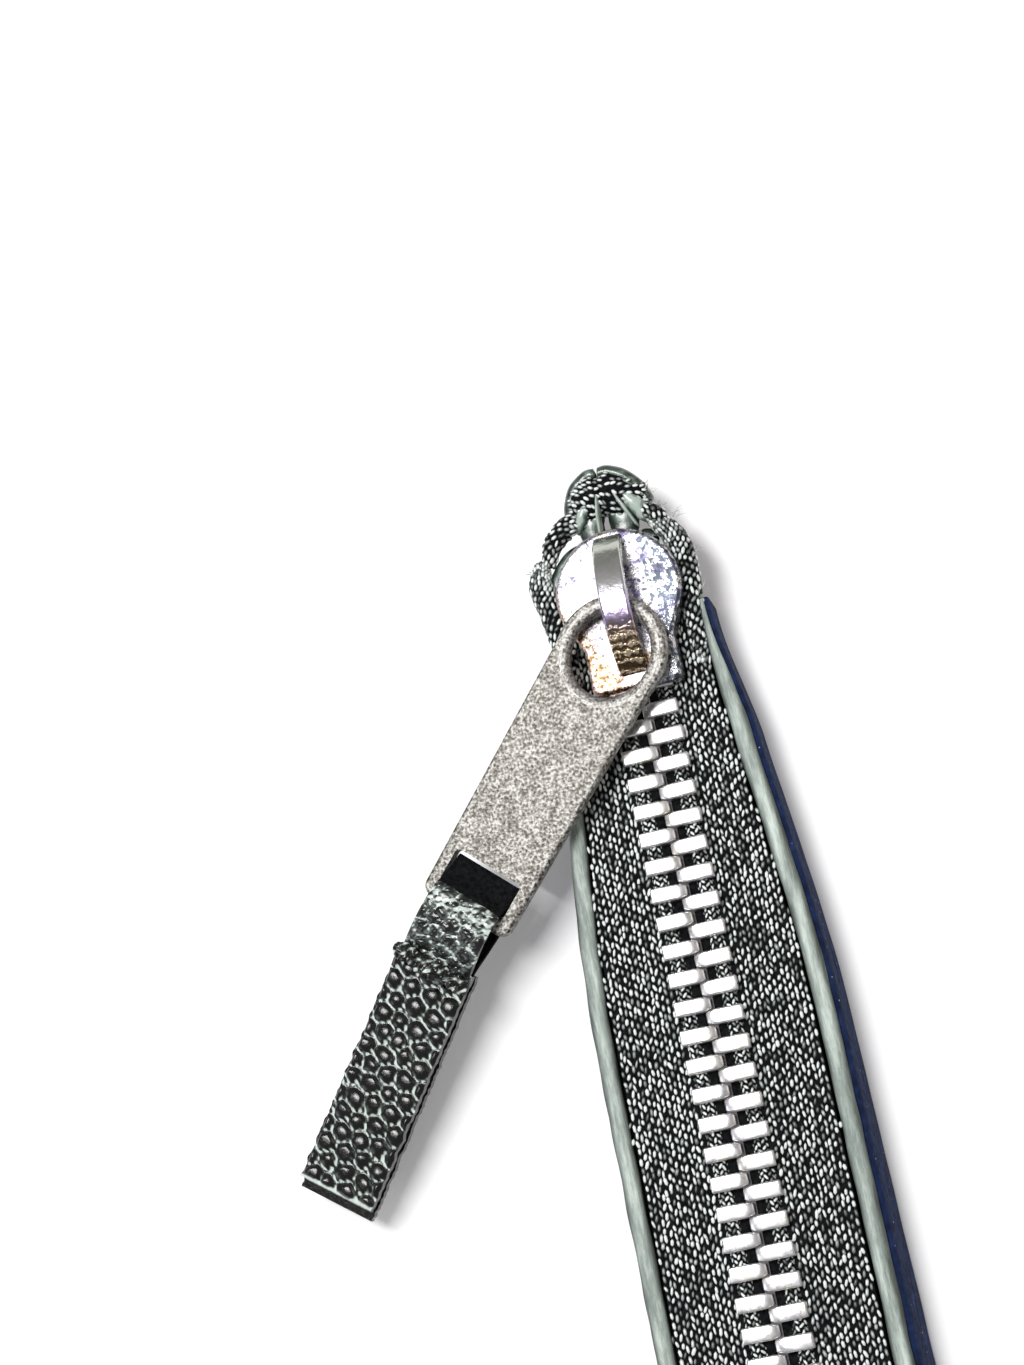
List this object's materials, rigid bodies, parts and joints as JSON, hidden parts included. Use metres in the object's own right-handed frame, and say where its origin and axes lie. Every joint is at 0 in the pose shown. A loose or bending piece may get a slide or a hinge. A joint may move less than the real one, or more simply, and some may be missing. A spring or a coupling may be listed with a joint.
{
  "type": "zipper with leather facings",
  "caption": "Closed metal-tooth zipper between two leather facings: slider with bail, flat pull tab and leather strap, tapes that part behind the slider.",
  "frame": {"origin": "on the chain's centreline, level with the bottom stop, in the plane that the facings stand on", "axes": "+Y along the chain towards its closed end, +X across it to the right, +Z out of the face with the pull"},
  "size_m": [0.0518, 0.1774, 0.0116],
  "materials": {
    "black_leather": "pebbled, glazed",
    "black_tape": "herringbone-woven polyester tape",
    "blasted_nickel": "blasted, slightly darkened nickel",
    "cord": "woven bead over a core cord",
    "core_leather": "raw split leather",
    "edge_paint": "painted leather edge, satin",
    "lining_leather": "smooth split leather",
    "navy_leather": "pebbled, matt",
    "pleat_film": "painted leather edge, folded and glossy",
    "polished_nickel": "polished nickel plate",
    "thread": "sewing thread"
  },
  "bodies": {
    "base": {"bottom_stop": "polished_nickel", "end_tab_top": "black_leather", "end_tab_bottom": "black_leather", "end_tab_thread": "thread"},
    "left_stringer": {"cap_left": "black_tape", "cord_left": "cord", "edge_left": "edge_paint", "facing_left": "navy_leather", "lining_left": "lining_leather", "pleats_left": "pleat_film", "seam_left": "thread", "tail_left": "black_tape", "tape_left": "black_tape", "teeth_left": "polished_nickel", "top_stop_left": "polished_nickel"},
    "right_stringer": {"cap_right": "black_tape", "cord_right": "cord", "edge_right": "edge_paint", "facing_right": "navy_leather", "lining_right": "lining_leather", "pleats_right": "pleat_film", "seam_right": "thread", "tail_right": "black_tape", "tape_right": "black_tape", "teeth_right": "polished_nickel", "top_stop_right": "polished_nickel"},
    "slider": {"slider_body": "polished_nickel", "slider_bail": "polished_nickel"},
    "tab": {"pull_tab": "blasted_nickel"},
    "strap": {"strap_loop": "black_leather", "strap_core": "core_leather", "strap_top": "black_leather", "strap_bottom": "black_leather", "strap_lip": "black_leather"}
  },
  "joints": [
    {"name": "slider_travel", "type": "slide", "parent": "base", "child": "slider", "axis": [0, -1, 0], "range_m": [0, 0.135]},
    {"name": "left_opening", "type": "hinge", "parent": "base", "child": "left_stringer", "pos_m": [0, 0, 0.0052], "axis": [0, 0, 1], "range_deg": [0, 8.5], "deforming": ["tape_left", "cord_left", "teeth_left"]},
    {"name": "right_opening", "type": "hinge", "parent": "base", "child": "right_stringer", "pos_m": [0, 0, 0.0052], "axis": [0, 0, 1], "range_deg": [-8.5, 0], "deforming": ["tape_right", "cord_right", "teeth_right"]},
    {"name": "pull_lift", "type": "hinge", "parent": "slider", "child": "tab", "pos_m": [0, 0.1453, 0.0093], "axis": [-0.9421, 0.3352, 0], "range_deg": [0, 140]},
    {"name": "strap_swing", "type": "hinge", "parent": "tab", "child": "strap", "pos_m": [-0.01958, 0.12169, 0.00659], "axis": [-0.7314, 0.682, 0], "range_deg": [-30, 80]}
  ],
  "couplings": [
    {"joint": "left_opening", "follows": "slider_travel", "rad_per_m": 1.098},
    {"joint": "right_opening", "follows": "slider_travel", "rad_per_m": -1.098}
  ]
}
